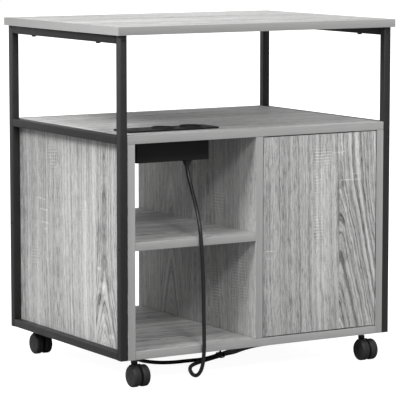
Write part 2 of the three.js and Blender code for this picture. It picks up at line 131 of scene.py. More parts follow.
# ------------------------------------------------------------------ node materials
class Net:
    """Builds one procedural material; a value is a socket or a number."""

    def __init__(self, name, roughness, specular=0.3):
        self.material = bpy.data.materials.new(name)
        self.material.use_nodes = True
        self.tree = self.material.node_tree
        self.shader = self.tree.nodes["Principled BSDF"]
        self.shader.inputs["Roughness"].default_value = roughness
        self.shader.inputs["Specular IOR Level"].default_value = specular
        self._axes = None

    def node(self, kind, **values):
        made = self.tree.nodes.new(kind)
        for key, value in values.items():
            setattr(made, key, value)
        return made

    def put(self, socket, value):
        if isinstance(value, bpy.types.NodeSocket):
            self.tree.links.new(value, socket)
        else:
            socket.default_value = value

    def math(self, operation, *values, clamp=False):
        made = self.node("ShaderNodeMath", operation=operation, use_clamp=clamp)
        for socket, value in zip(made.inputs, values):
            self.put(socket, value)
        return made.outputs[0]

    def add(self, *values):
        total = values[0]
        for value in values[1:]:
            total = self.math("ADD", total, value)
        return total

    def mul(self, *values):
        total = values[0]
        for value in values[1:]:
            total = self.math("MULTIPLY", total, value)
        return total

    def span(self, value, low, high, to_low=0.0, to_high=1.0, smooth=True):
        made = self.node("ShaderNodeMapRange", clamp=True)
        made.interpolation_type = "SMOOTHSTEP" if smooth else "LINEAR"
        for socket, number in zip(made.inputs, (value, low, high, to_low, to_high)):
            self.put(socket, number)
        return made.outputs[0]

    def axes(self):
        if self._axes is None:
            place = self.node("ShaderNodeTexCoord").outputs["Object"]
            split = self.node("ShaderNodeSeparateXYZ")
            self.put(split.inputs[0], place)
            self._axes = {"place": place}
            self._axes.update(zip("XYZ", split.outputs))
        return self._axes

    def vector(self, x, y, z):
        made = self.node("ShaderNodeCombineXYZ")
        for socket, value in zip(made.inputs, (x, y, z)):
            self.put(socket, value)
        return made.outputs[0]

    def noise(self, vector, scale=1.0, detail=2.0, roughness=0.5):
        made = self.node("ShaderNodeTexNoise", noise_dimensions="3D")
        self.put(made.inputs["Vector"], vector)
        self.put(made.inputs["Scale"], scale)
        self.put(made.inputs["Detail"], detail)
        self.put(made.inputs["Roughness"], roughness)
        return made.outputs["Fac"]

    def line_noise(self, w, detail=2.0, roughness=0.5):
        made = self.node("ShaderNodeTexNoise", noise_dimensions="1D")
        self.put(made.inputs["W"], w)
        self.put(made.inputs["Scale"], 1.0)
        self.put(made.inputs["Detail"], detail)
        self.put(made.inputs["Roughness"], roughness)
        return made.outputs["Fac"]

    def tinted(self, value, red, green, blue):
        made = self.node("ShaderNodeCombineColor")
        for socket, factor in zip(made.inputs, (red, green, blue)):
            self.put(socket, self.math("MULTIPLY", value, factor))
        return made.outputs[0]

    def colour(self, value):
        self.put(self.shader.inputs["Base Color"], value)

    def bump(self, height, distance, strength=1.0):
        made = self.node("ShaderNodeBump")
        made.inputs["Strength"].default_value = strength
        made.inputs["Distance"].default_value = distance
        self.put(made.inputs["Height"], height)
        self.put(self.shader.inputs["Normal"], made.outputs["Normal"])

    def rough(self, value):
        self.put(self.shader.inputs["Roughness"], value)


def stairs(net, u, seams, levels):
    """The level of the plank that u is in."""
    total = levels[0]
    for seam, before, after in zip(seams, levels, levels[1:]):
        if abs(after - before) > 1e-9:
            step = net.math("GREATER_THAN", u, seam)
            total = net.add(total, net.mul(step, after - before))
    return total


SAW_PITCH = 5.8 * MM


# A plank of the printed oak: where its heart lies across and along the board, how far its rings
# lean along it, how strong they are, and its tone.
def plank(heart=0.0, lean=0.0, top=9.0, ring=0.5, tone=0.0, fine=1.0):
    return dict(heart=heart, lean=lean, top=top, ring=ring, tone=tone, fine=fine)


def oak(
    name, across, along, seams, planks, tone=0.40, contrast=1.3,
    marks=(), zones=(), patches=(), seed=0.0,
):
    """Printed sawn oak. marks are light cross scratches (from, to, at, half height); zones are where
    saw marks cross it (from, to, from along, to along, amount); patches are soft spots of the figure
    (across, along, half width, half length, amount)."""
    net = Net(name, 0.55, 0.28)
    axes = net.axes()
    third = ({"X", "Y", "Z"} - {across, along}).pop()
    u, v, w = axes[across], axes[along], axes[third]

    def level(key):
        return stairs(net, u, seams, [p[key] for p in planks])

    shift = stairs(net, u, seams, [seed + 3.7 * i for i in range(len(planks))])

    def figure_noise(source, fine, long, deep, **options):
        """Noise stretched along the plank: its scales over the source, along it and through it."""
        spot = net.vector(net.add(net.mul(source, fine), shift), net.mul(v, long), net.mul(w, deep))
        return net.noise(spot, **options)

    broad = figure_noise(u, 16.0, 3.2, 3.0, detail=2.0)
    middle = figure_noise(u, 70.0, 13.0, 6.0, detail=2.0)
    ragged_fine = figure_noise(u, 330.0, 75.0, 20.0, detail=2.0)
    drift = net.add(
        net.mul(net.add(broad, -0.5), 0.022), net.mul(net.add(middle, -0.5), 0.006),
        net.mul(net.add(ragged_fine, -0.5), 0.0022),
    )
    side = net.add(u, net.mul(level("heart"), -1.0))
    round_heart = net.math("SQRT", net.add(net.mul(side, side), 0.00004))
    rise = net.add(v, net.mul(level("top"), -1.0))
    round_top = net.math("SQRT", net.add(net.mul(rise, rise), 0.0036))
    below = net.mul(net.add(rise, net.mul(round_top, -1.0)), 0.5)
    ring = net.add(round_heart, net.mul(below, level("lean")), drift)
    bold = net.line_noise(net.add(net.mul(ring, 150.0), shift), detail=1.0)
    lines = net.line_noise(net.add(net.mul(ring, 520.0), shift), detail=2.0, roughness=0.6)
    tones = net.line_noise(net.add(net.mul(ring, 48.0), shift), detail=1.0)
    fibre = figure_noise(ring, 620.0, 42.0, 40.0, detail=4.0, roughness=0.7)
    pores = figure_noise(u, 760.0, 120.0, 90.0, detail=3.0, roughness=0.6)
    bold = net.mul(net.add(net.span(bold, 0.36, 0.66), -0.5), level("ring"))
    lines = net.mul(net.add(net.span(lines, 0.34, 0.62), -0.5), level("fine"))
    fibre_band = net.add(net.span(fibre, 0.30, 0.66), -0.5)
    dark_pores = net.span(pores, 0.53, 0.68)
    figure = net.add(
        net.mul(bold, 0.50 * contrast),
        net.mul(lines, 0.20 * contrast),
        net.mul(fibre_band, 0.46 * contrast),
        net.mul(dark_pores, -0.24 * contrast),
        net.mul(net.add(net.span(tones, 0.36, 0.64), -0.5), 0.16 * contrast),
        net.mul(net.add(broad, -0.5), 0.55 * contrast),
        level("tone"),
    )
    if zones:
        wobble = net.noise(net.vector(net.mul(u, 14.0), net.mul(v, 9.0), 0.0), detail=1.0)
        phase = net.add(net.mul(v, 2 * math.pi / SAW_PITCH), net.mul(wobble, 9.0), net.mul(u, 60.0))
        wave = net.math("SINE", phase)
        crests = net.add(net.span(wave, -0.1, 0.95), -0.32)
        tears = net.noise(net.vector(net.mul(u, 130.0), net.mul(v, 260.0), seed), detail=2.0)
        blotches = net.noise(net.vector(net.mul(u, 38.0), net.mul(v, 24.0), seed), detail=2.0)
        torn = net.span(tears, 0.34, 0.56)
        patchy = net.span(blotches, 0.36, 0.58)
        bowed = net.mul(net.add(middle, -0.5), 0.02)
        for u_low, u_high, v_low, v_high, amount in zones:
            across_zone = net.mul(
                net.span(net.add(u, bowed), u_low, u_low + 0.006),
                net.span(net.add(u, bowed), u_high - 0.012, u_high, 1.0, 0.0),
            )
            along_zone = net.mul(
                net.span(v, v_low, v_low + 0.03),
                net.span(v, v_high - 0.02, v_high, 1.0, 0.0),
            )
            figure = net.add(figure, net.mul(crests, torn, patchy, across_zone, along_zone, amount))
    for low, high, place, half in marks:
        away = net.math("ABSOLUTE", net.add(v, -place, net.mul(net.add(middle, -0.5), 0.004)))
        scratch = net.mul(
            net.span(away, half * 0.4, half, 1.0, 0.0),
            net.span(u, low, low + 0.003),
            net.span(u, high - 0.006, high, 1.0, 0.0),
            net.span(fibre, 0.30, 0.60),
        )
        figure = net.add(figure, net.mul(scratch, 0.55))
    ragged = net.add(net.mul(net.add(middle, -0.5), 1.3), net.mul(net.add(fibre, -0.5), 0.7))
    for u0, v0, half_u, half_v, amount in patches:
        du = net.mul(net.add(u, -u0), 1.0 / half_u)
        dv = net.mul(net.add(v, -v0), 1.0 / half_v)
        reach = net.add(net.math("SQRT", net.add(net.mul(du, du), net.mul(dv, dv))), ragged)
        figure = net.add(figure, net.span(reach, 0.55, 1.15, amount, 0.0))
    seam = 0.0
    for place in seams:
        gap = net.math("ABSOLUTE", net.add(u, -place))
        seam = net.add(seam, net.span(gap, 0.0002, 0.0007, 1.0, 0.0))
    if seams:
        figure = net.add(figure, net.mul(seam, -0.16))
    albedo = net.mul(net.math("MAXIMUM", net.add(1.0, figure), 0.22), tone)
    net.colour(net.tinted(albedo, 1.0, 0.997, 0.992))
    relief = net.add(net.mul(fibre_band, 0.6), net.mul(lines, 0.5), net.mul(dark_pores, -1.2))
    net.bump(relief, 0.00012, 0.6)
    net.rough(net.span(figure, -0.5, 0.5, 0.62, 0.50, smooth=False))
    return net.material


def edge_band(name, along, tone=0.32):
    """Edge banding: a smooth printed strip with faint lines along the board."""
    net = Net(name, 0.5, 0.28)
    axes = net.axes()
    scales = {axis: (9.0 if axis == along else 620.0) for axis in "XYZ"}
    streak = net.noise(
        net.vector(*(net.mul(axes[axis], scales[axis]) for axis in "XYZ")), detail=3.0, roughness=0.6
    )
    cloud = net.noise(axes["place"], 22.0, detail=2.0)
    value = net.add(1.0, net.mul(net.add(streak, -0.5), 0.30), net.mul(net.add(cloud, -0.5), 0.12))
    net.colour(net.tinted(net.mul(value, tone), 1.0, 0.997, 0.992))
    net.bump(streak, 0.00005, 0.4)
    net.rough(net.span(streak, 0.3, 0.7, 0.46, 0.56, smooth=False))
    return net.material


def powder_coat(name, tone=0.0165):
    """Black powder coat: a fine orange peel, a little dust, and a painted highlight that makes the convex
    edges lighter.
    """
    net = Net(name, 0.46, 0.32)
    place = net.axes()["place"]
    peel = net.noise(place, 1400.0, detail=2.0, roughness=0.6)
    dust = net.noise(place, 42.0, detail=3.0)
    edge = net.node("ShaderNodeNewGeometry").outputs["Pointiness"]
    # Painted highlight: convex edges, found by pointiness, are painted lighter to stand in for the shine on
    # the rounded tube corners.
    painted_edge_highlight = net.span(edge, 0.52, 0.60)
    value = net.mul(net.add(0.82, net.mul(dust, 0.36), net.mul(painted_edge_highlight, 0.25)), tone)
    net.colour(net.tinted(value, 1.0, 1.0, 1.02))
    net.bump(peel, 0.00006, 0.55)
    net.rough(net.span(dust, 0.3, 0.7, 0.38, 0.52, smooth=False))
    return net.material


def moulded(name, tone, roughness=0.5, specular=0.3, grain=1900.0, depth=0.00004, tint=(1.0, 1.0, 1.0)):
    """Moulded plastic: spark-eroded grain, slight flow marks and finger wear in its gloss."""
    net = Net(name, roughness, specular)
    place = net.axes()["place"]
    spark = net.noise(place, grain, detail=2.0, roughness=0.7)
    flow = net.noise(place, 60.0, detail=3.0)
    value = net.mul(net.add(0.80, net.mul(flow, 0.28), net.mul(spark, 0.12)), tone)
    net.colour(net.tinted(value, *tint))
    net.bump(spark, depth, 0.5)
    net.rough(net.span(flow, 0.3, 0.7, max(0.05, roughness - 0.07), min(1.0, roughness + 0.08), smooth=False))
    return net.material


def metal(name, tone, roughness, along="Z", stretch=30.0):
    """Turned or drawn bright metal with fine lines along one axis."""
    net = Net(name, roughness, 0.5)
    net.shader.inputs["Metallic"].default_value = 1.0
    axes = net.axes()
    scales = {axis: (stretch if axis == along else 2600.0) for axis in "XYZ"}
    lines = net.noise(net.vector(*(net.mul(axes[axis], scales[axis]) for axis in "XYZ")), detail=2.0)
    value = net.mul(net.add(0.88, net.mul(lines, 0.24)), tone)
    net.colour(net.tinted(value, 1.0, 0.99, 0.97))
    net.rough(net.span(lines, 0.3, 0.7, roughness - 0.08, roughness + 0.1, smooth=False))
    net.bump(lines, 0.00002, 0.4)
    return net.material


# ------------------------------------------------------------------ pieces in mesh code
def link(obj):
    bpy.context.scene.collection.objects.link(obj)
    return obj


def mesh_object(name, bm, materials, smooth=True):
    data = bpy.data.meshes.new(name)
    bm.normal_update()
    bm.to_mesh(data)
    bm.free()
    for material in materials:
        data.materials.append(material)
    for face in data.polygons:
        face.use_smooth = smooth
    return link(bpy.data.objects.new(name, data))


def bevelled(obj, width, segments=2, angle=30.0):
    made = obj.modifiers.new("rounded_edges", "BEVEL")
    made.width = width
    made.segments = segments
    made.limit_method = "ANGLE"
    made.angle_limit = math.radians(angle)
    made.harden_normals = True
    return obj


def softened(node, materials, width=0.0006, pick=None, segments=2, angle=30.0):
    """The CAD node's own shape with rounded edges and one or more materials."""
    source = frame["nodes"][node]
    bm = bmesh.new()
    bm.from_mesh(source.data)
    bmesh.ops.remove_doubles(bm, verts=bm.verts, dist=2e-6)
    bmesh.ops.dissolve_limit(bm, angle_limit=math.radians(0.5), verts=bm.verts, edges=bm.edges)
    bm.normal_update()
    for face in bm.faces:
        face.material_index = pick(face) if pick else 0
    obj = mesh_object(node + "_finish", bm, materials)
    if width:
        bevelled(obj, width, segments, angle)
    return ride_as(obj, node)


def board(node, thin, face, edge, width=0.0005):
    axis = "XYZ".index(thin)
    return softened(node, [face, edge], width, pick=lambda f: 0 if abs(f.normal[axis]) > 0.7 else 1)


# ------------------------------------------------------------------ boards
edge_x = edge_band("edge_band_lengthwise", "X")
edge_z = edge_band("edge_band_upright", "Z")
edge_top = edge_band("edge_band_top", "X", 0.33)

door_low, door_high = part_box("door")
x0, z0 = door_low.x, door_low.z
door_face = oak(
    "oak_door", "X", "Z", [x0 + 0.0863, x0 + 0.170],
    [
        plank(heart=x0 - 0.03, lean=0.02, top=0.6, ring=0.35, tone=-0.02, fine=0.9),
        plank(heart=x0 + 0.05, lean=0.03, top=0.6, ring=0.55, tone=0.05, fine=0.7),
        plank(heart=x0 + 0.170, lean=0.25, top=z0 + 0.27, ring=1.1, tone=-0.02, fine=1.1),
    ],
    patches=[
        (x0 + 0.172, z0 + 0.245, 0.010, 0.070, -0.26), (x0 + 0.180, z0 + 0.150, 0.012, 0.035, -0.22),
        (x0 + 0.006, z0 + 0.200, 0.012, 0.150, -0.18), (x0 + 0.040, z0 + 0.180, 0.012, 0.210, 0.10),
        (x0 + 0.098, z0 + 0.100, 0.010, 0.150, -0.16), (x0 + 0.130, z0 + 0.190, 0.024, 0.220, 0.14),
        (x0 + 0.177, z0 + 0.060, 0.008, 0.018, -0.20), (x0 + 0.178, z0 + 0.018, 0.008, 0.014, -0.20),
    ],
    tone=0.335,
    marks=[
        (x0 + 0.170, x0 + 0.216, 0.352, 0.0017), (x0 + 0.196, x0 + 0.214, 0.363, 0.0012),
        (x0 + 0.150, x0 + 0.186, 0.405, 0.0012), (x0 + 0.002, x0 + 0.028, 0.228, 0.0014),
        (x0 + 0.006, x0 + 0.022, 0.214, 0.0010),
    ],
    zones=[(x0 + 0.107, x0 + 0.156, 0.315, 0.425, 0.60), (x0 + 0.110, x0 + 0.142, 0.225, 0.320, 0.50),
           (x0 + 0.114, x0 + 0.150, 0.165, 0.220, 0.25)],
    seed=2.3,
)
board("door", "Y", door_face, edge_z)

side_face = oak(
    "oak_side", "Y", "Z", [-0.0984, 0.0729],
    [
        plank(heart=-0.132, lean=0.30, top=0.20, ring=0.9, tone=-0.02, fine=0.9),
        plank(heart=0.05, lean=0.02, top=0.6, ring=0.45, tone=0.03, fine=0.9),
        plank(heart=0.20, lean=0.03, top=0.6, ring=0.40, tone=0.0, fine=0.9),
    ],
    tone=0.345,
    marks=[
        (0.096, 0.136, 0.312, 0.0018), (0.088, 0.126, 0.292, 0.0016),
        (0.086, 0.118, 0.268, 0.0016), (0.092, 0.108, 0.256, 0.0013),
    ],
    zones=[
        (0.050, 0.100, 0.360, 0.425, 0.45), (-0.060, -0.030, 0.270, 0.330, 0.30),
        (0.120, 0.165, 0.170, 0.250, 0.30),
    ],
    patches=[
        (0.112, 0.300, 0.0016, 0.012, 0.40), (0.094, 0.280, 0.0016, 0.016, 0.40),
        (0.020, 0.230, 0.020, 0.180, 0.12), (-0.066, 0.220, 0.018, 0.200, 0.14),
        (0.068, 0.240, 0.006, 0.170, -0.16),
        (-0.004, 0.160, 0.0022, 0.070, 0.30), (-0.002, 0.190, 0.005, 0.060, -0.14),
        (-0.110, 0.262, 0.011, 0.060, -0.26), (-0.110, 0.206, 0.009, 0.004, 0.40),
        (-0.118, 0.150, 0.018, 0.014, -0.34), (-0.150, 0.178, 0.010, 0.022, -0.22),
        (-0.122, 0.176, 0.014, 0.008, 0.26), (-0.140, 0.096, 0.016, 0.020, -0.20),
        (-0.128, 0.112, 0.005, 0.014, 0.36), (-0.156, 0.086, 0.012, 0.005, 0.34),
    ],
    seed=5.1,
)
board("left_side_panel", "X", side_face, edge_z)
board("right_side_panel", "X", side_face, edge_z)
divider_face = oak(
    "oak_divider", "Y", "Z", [-0.12, -0.04, 0.045, 0.13],
    [
        plank(heart=-0.2, lean=0.02, ring=0.4, tone=0.02, fine=0.9),
        plank(heart=-0.05, lean=0.10, top=0.3, ring=0.45, tone=-0.01, fine=0.9),
        plank(heart=0.0, lean=0.02, ring=0.5, tone=0.02, fine=0.9),
        plank(heart=0.09, lean=0.2, top=0.35, ring=0.55, tone=-0.01, fine=1.0),
        plank(heart=0.25, lean=0.02, ring=0.4, tone=0.0, fine=0.9),
    ],
    tone=0.37,
    contrast=1.0,
    zones=[
        (-0.19, -0.13, 0.10, 0.24, 0.35), (-0.11, -0.06, 0.28, 0.42, 0.4),
        (-0.10, -0.05, 0.08, 0.20, 0.35),
    ],
    patches=[
        (0.02, 0.36, 0.02, 0.05, -0.22), (-0.02, 0.30, 0.012, 0.05, -0.18),
        (0.06, 0.35, 0.012, 0.03, 0.16),
    ],
    seed=8.2,
)
board("divider", "X", divider_face, edge_z)
back_face = oak(
    "oak_back", "X", "Z", [0.09, 0.18],
    [
        plank(heart=0.05, lean=0.15, top=0.3, ring=0.8, fine=0.9),
        plank(heart=0.3, lean=0.02, ring=0.4, tone=0.03, fine=0.8),
        plank(heart=0.22, lean=0.03, ring=0.5, tone=-0.02, fine=1.0),
    ],
    tone=0.33, seed=11.4,
)
board("right_back_panel", "Y", back_face, edge_z)

flat_planks = [
    plank(heart=-0.25, lean=0.03, ring=0.45, tone=0.0, fine=0.9),
    plank(heart=-0.13, lean=0.12, top=0.2, ring=0.8, tone=-0.03, fine=1.0),
    plank(heart=-0.02, lean=0.02, ring=0.4, tone=0.03, fine=0.8),
    plank(heart=0.06, lean=0.05, ring=0.6, tone=0.0, fine=1.0),
    plank(heart=0.22, lean=0.10, top=0.1, ring=0.7, tone=-0.02, fine=0.9),
]
flat_seams = [-0.138, -0.054, 0.030, 0.114]
top_face = oak("oak_tabletop", "Y", "X", flat_seams, flat_planks, tone=0.385, contrast=1.25, seed=1.7)
shelf_face = oak("oak_shelf", "Y", "X", flat_seams, flat_planks, tone=0.35, contrast=1.1, seed=14.9)
board("tabletop", "Z", top_face, edge_top, 0.0007)
board("middle_top", "Z", shelf_face, edge_x)
board("left_shelf", "Z", shelf_face, edge_x)
board("bottom_panel", "Z", shelf_face, edge_x)

# ------------------------------------------------------------------ metal frame
frame_paint = powder_coat("powder_coat_black")
for node in frame["nodes"]:
    if node.endswith("_post") or node.endswith("_rail"):
        softened(node, [frame_paint], 0.0006, segments=2)

# ------------------------------------------------------------------ plastics and small parts
station_plastic = moulded("station_plastic", 0.016, 0.55, 0.12)
black_plastic = moulded("caster_plastic", 0.020, 0.48, 0.25)
soft_plastic = moulded("soft_plastic", 0.020, 0.6, 0.2, grain=1200.0, depth=0.00006)
board_green = moulded("circuit_laminate", 0.10, 0.4, 0.4, tint=(0.25, 1.0, 0.35))
nylon = moulded("nylon_grey", 0.30, 0.5, 0.3)
steel = metal("zinc_plated_steel", 0.62, 0.34)
bright = metal("nickel_plated_brass", 0.70, 0.22, along="Y")

# ------------------------------------------------------------------ turned pieces
def lathe(name, profile, materials, segments=64, bands=None, reshape=None, smooth_angle=32.0):
    """A body turned round Z. The profile is (radius, height) pairs; an end at radius 0 is closed."""
    bm = bmesh.new()
    rings = []
    for radius, height in profile:
        if radius < 1e-7:
            rings.append([bm.verts.new((0.0, 0.0, height))])
            continue
        ring = []
        for i in range(segments):
            angle = 2 * math.pi * i / segments
            spot = Vector((radius * math.cos(angle), radius * math.sin(angle), height))
            if reshape:
                spot = reshape(spot, angle)
            ring.append(bm.verts.new(spot))
        rings.append(ring)
    for k, (a, b) in enumerate(zip(rings, rings[1:])):
        for i in range(segments):
            j = (i + 1) % segments
            if len(a) == 1:
                corners = [a[0], b[j], b[i]]
            elif len(b) == 1:
                corners = [a[i], a[j], b[0]]
            else:
                corners = [a[i], a[j], b[j], b[i]]
            face = bm.faces.new(corners)
            face.material_index = bands[k] if bands else 0
    for ring in (rings[0], rings[-1]):
        if len(ring) > 1:
            bm.faces.new(ring)
    bmesh.ops.recalc_face_normals(bm, faces=bm.faces)
    obj = mesh_object(name, bm, materials)
    obj.data.set_sharp_from_angle(angle=math.radians(smooth_angle))
    return obj


def place(obj, rotation, offset):
    """Turns and moves a piece's mesh, so that its object stays at the origin."""
    obj.data.transform(Matrix.Translation(offset) @ rotation)
    obj.data.update()
    return obj


def arc_profile(corners, radius, steps=4):
    """The profile with its inner corners rounded."""
    points = [Vector(c) for c in corners]
    made = [points[0]]
    for before, corner, after in zip(points, points[1:], points[2:]):
        first, second = before - corner, after - corner
        reach = min(radius, first.length * 0.45, second.length * 0.45)
        start, end = corner + first.normalized() * reach, corner + second.normalized() * reach
        for i in range(steps + 1):
            t = i / steps
            made.append(start * (1 - t) ** 2 + corner * (2 * t * (1 - t)) + end * t**2)
    made.append(points[-1])
    return [(p.x, p.y) for p in made]


# ------------------------------------------------------------------ mains cord, tie, plug and gland
CORD = 7.2 * MM
FLOOR_LINE = 3.9 * MM
gland_low, gland_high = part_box("cord_gland")
plug_low, plug_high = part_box("mains_plug")
tie_spot = Vector((20 * MM, -49 * MM, 6.5 * MM))
tie_angle = math.radians(29)
fold_spot, fold_radius = Vector((186 * MM, 58 * MM, FLOOR_LINE)), 39 * MM


def at_tie(s, t):
    along, across = math.cos(tie_angle), math.sin(tie_angle)
    return tie_spot + Vector((s * along - t * across, s * across + t * along, 0.0)) * MM


def on_fold(degrees):
    angle = math.radians(degrees)
    return fold_spot + Vector((math.cos(angle), math.sin(angle), 0.0)) * fold_radius


def on_floor(x, y):
    return Vector((x * MM, y * MM, FLOOR_LINE))


def at(x, y, z):
    return Vector((x, y, z)) * MM


route = [
    at(-119.5, -158, 389.9), at(-119.4, -158.6, 380.5), at(-119, -164.5, 367), at(-120.2, -183, 336),
    at(-127.2, -214, 295), at(-129.3, -225, 256), at(-127.6, -227.1, 214), at(-125.2, -227.1, 130),
    at(-124.9, -226.6, 44), at(-125, -219.5, 20.5), at(-124.5, -204.5, 6.6), on_floor(-121, -184),
    on_floor(-110.5, -157), on_floor(-95.5, -128), on_floor(-76, -101), on_floor(-46, -80),
    at_tie(-14, -4), at_tie(14, -4), on_floor(62, -29), on_floor(104, -4), on_floor(148, 13),
    on_fold(-82), on_fold(-36), on_fold(10), on_fold(56), on_fold(102),
    on_floor(146, 77), on_floor(122, 39), on_floor(89, 3), at_tie(14, 4), at_tie(-14, 4),
    on_floor(-24, -59), on_floor(-56, -56), on_floor(-88, -56), on_floor(-115, -44), on_floor(-130, -18),
    at(-135, 12, 4.9), at(-133.6, 36, 11.4), at(-130.5, 57, 18.2), at(-130, 73.7, 18.8),
]


def through(points, steps):
    """A centripetal Catmull-Rom line through the points."""
    ends = [points[0] * 2 - points[1], *points, points[-1] * 2 - points[-2]]
    line = []
    for a, b, c, d in zip(ends, ends[1:], ends[2:], ends[3:]):
        t1 = math.sqrt((b - a).length)
        t2 = t1 + math.sqrt((c - b).length)
        t3 = t2 + math.sqrt((d - c).length)
        for i in range(steps):
            t = t1 + (t2 - t1) * i / steps
            ab = a * ((t1 - t) / t1) + b * (t / t1)
            bc = b * ((t2 - t) / (t2 - t1)) + c * ((t - t1) / (t2 - t1))
            cd = c * ((t3 - t) / (t3 - t2)) + d * ((t - t2) / (t3 - t2))
            abc = ab * ((t2 - t) / t2) + bc * (t / t2)
            bcd = bc * ((t3 - t) / (t3 - t1)) + cd * ((t - t1) / (t3 - t1))
            line.append(abc * ((t2 - t) / (t2 - t1)) + bcd * ((t - t1) / (t2 - t1)))
    line.append(points[-1].copy())
    return line


def evenly(line, count):
    """The line again, in points an equal distance apart."""
    marks = [0.0]
    for a, b in zip(line, line[1:]):
        marks.append(marks[-1] + (b - a).length)
    made, k = [], 0
    for i in range(count + 1):
        want = marks[-1] * i / count
        while k < len(line) - 2 and marks[k + 1] < want:
            k += 1
        t = (want - marks[k]) / (marks[k + 1] - marks[k])
        made.append(line[k].lerp(line[k + 1], min(1.0, t)))
    return made


def eased(line, rounds):
    """The line with its bends evened out, as a springy cord lies; its ends stay."""
    for _ in range(rounds):
        line = line[:3] + [
            b + (a - 2 * b + c) * 0.25 for a, b, c in zip(line[2:], line[3:-3], line[4:-2])
        ] + line[-3:]
    return line


cord_line = evenly(eased(evenly(through(route, 24), 700), 60), 420)
cord_curve = bpy.data.curves.new("mains_cord_line", "CURVE")
cord_curve.dimensions = "3D"
spline = cord_curve.splines.new("POLY")
spline.points.add(len(cord_line) - 1)
for point, spot in zip(spline.points, cord_line):
    point.co = (*spot, 1.0)
spline.use_smooth = True
cord_curve.bevel_depth = CORD / 2
cord_curve.bevel_resolution = 6
cord_curve.use_fill_caps = True


def rubber(name, tone):
    """A PVC sheath: semi-gloss, with faint drawing lines and handling marks."""
    net = Net(name, 0.30, 0.38)
    place_of = net.axes()["place"]
    fine = net.noise(place_of, 900.0, detail=2.0)
    marks = net.noise(place_of, 70.0, detail=3.0)
    net.colour(net.tinted(net.mul(net.add(0.75, net.mul(marks, 0.5)), tone), 1.0, 1.0, 1.0))
    net.bump(net.add(fine, net.mul(marks, 0.5)), 0.00005, 0.35)
    net.rough(net.span(marks, 0.3, 0.7, 0.28, 0.44, smooth=False))
    return net.material


cord_rubber = rubber("cord_sheath", 0.008)
cord_curve.materials.append(cord_rubber)
cord = link(bpy.data.objects.new("mains_cord_sheath", cord_curve))
ride_as(cord, "mains_cord")

tie = softened("cord_tie", [soft_plastic], 0.0004, segments=2)

PLUG_AXIS = Vector(((plug_low.x + plug_high.x) / 2, plug_low.y, (plug_low.z + plug_high.z) / 2))
body_end, sleeve_end, plug_radius = 54 * MM, 24 * MM, (plug_high.x - plug_low.x) / 2 - 0.0001


def plug_shape(spot, angle):
    """Two flats for the earth springs, and a waist for the fingers."""
    depth = (spot.z - sleeve_end) / (body_end - sleeve_end)
    side = abs(math.sin(angle))
    if depth > 0.25 and side > 0.965:
        spot = Vector((spot.x, spot.y * 0.90, spot.z))
    if 0.25 < depth < 0.8:
        waist = 1.0 - 0.05 * math.sin((depth - 0.25) / 0.55 * math.pi)
        spot = Vector((spot.x * waist, spot.y * waist, spot.z))
    return spot


sleeve_profile = [(0.0, 0.0), (4.7 * MM, 0.0)]
for i in range(8):
    low, wide = (1.0 + 2.5 * i) * MM, (4.8 + 0.16 * i) * MM
    groove = wide - 0.7 * MM
    sleeve_profile += [
        (wide, low), (wide, low + 1.5 * MM),
        (groove, low + 1.7 * MM), (groove, low + 2.3 * MM),
    ]
body_profile = [
    (8.0 * MM, 22.0 * MM), (11.5 * MM, 24.0 * MM), (15.8 * MM, 27.0 * MM), (17.6 * MM, 29.5 * MM),
    (plug_radius, 32.0 * MM),
]
body_profile += [(plug_radius, (32.0 + 1.4 * i) * MM) for i in range(1, 15)]
body_profile += [(plug_radius, 53.0 * MM), (plug_radius - 1.0 * MM, body_end), (0.0, body_end)]
plug = lathe("mains_plug_body", sleeve_profile + body_profile, [soft_plastic], 72, reshape=plug_shape)
to_y = Matrix.Rotation(-math.pi / 2, 4, "X")
place(plug, to_y, PLUG_AXIS)
ride_as(plug, "mains_plug")
pin_radius, pin_start, pin_tip = 2.4 * MM, 10 * MM, 72.8 * MM
pin_outline = [(0.0, pin_start), (pin_radius, pin_start), (pin_radius, pin_tip), (0.0, pin_tip)]
pin_profile = arc_profile(pin_outline, 1.6 * MM)
for side, dx in (("left", -9.5 * MM), ("right", 9.5 * MM)):
    pin = lathe(f"mains_plug_{side}_pin", pin_profile, [bright], 24)
    place(pin, to_y, PLUG_AXIS + Vector((dx, 0.0, 0.0)))
    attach(pin, body_of("mains_plug"))
for side, up in (("upper", 1.0), ("lower", -1.0)):
    bm = bmesh.new()
    bmesh.ops.create_grid(bm, x_segments=4, y_segments=10, size=0.5)
    for vert in bm.verts:
        bow = 0.9 * MM * (1 - (2 * vert.co.y) ** 2)
        vert.co = Vector((
            PLUG_AXIS.x + vert.co.x * 5.0 * MM,
            PLUG_AXIS.y + 43.5 * MM + vert.co.y * 19 * MM,
            PLUG_AXIS.z + up * (15.75 * MM + bow),
        ))
    strip = mesh_object(f"mains_plug_{side}_earth_contact", bm, [bright])
    thick = strip.modifiers.new("thickness", "SOLIDIFY")
    thick.thickness = 0.5 * MM
    thick.offset = 0.0
    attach(strip, body_of("mains_plug"))

gland_spot = centre("cord_gland")
top_of_gland = gland_high.z
gland_profile = [
    (0.0, gland_low.z), (4.3 * MM, gland_low.z),
    (4.6 * MM, gland_low.z + 0.3 * MM), (4.6 * MM, gland_low.z + 1.6 * MM),
    (5.0 * MM, top_of_gland - 9 * MM), (6.3 * MM, top_of_gland - 7.2 * MM),
    (7.4 * MM, top_of_gland - 4.6 * MM), (7.9 * MM, top_of_gland - 2.6 * MM),
    (8.5 * MM, top_of_gland - 1.8 * MM), (8.5 * MM, top_of_gland - 0.4 * MM),
    (8.2 * MM, top_of_gland), (0.0, top_of_gland),
]
gland = lathe("cord_gland_boot", gland_profile, [soft_plastic], 48)
place(gland, Matrix.Identity(4), Vector((gland_spot.x, gland_spot.y, 0.0)))
ride_as(gland, "cord_gland")

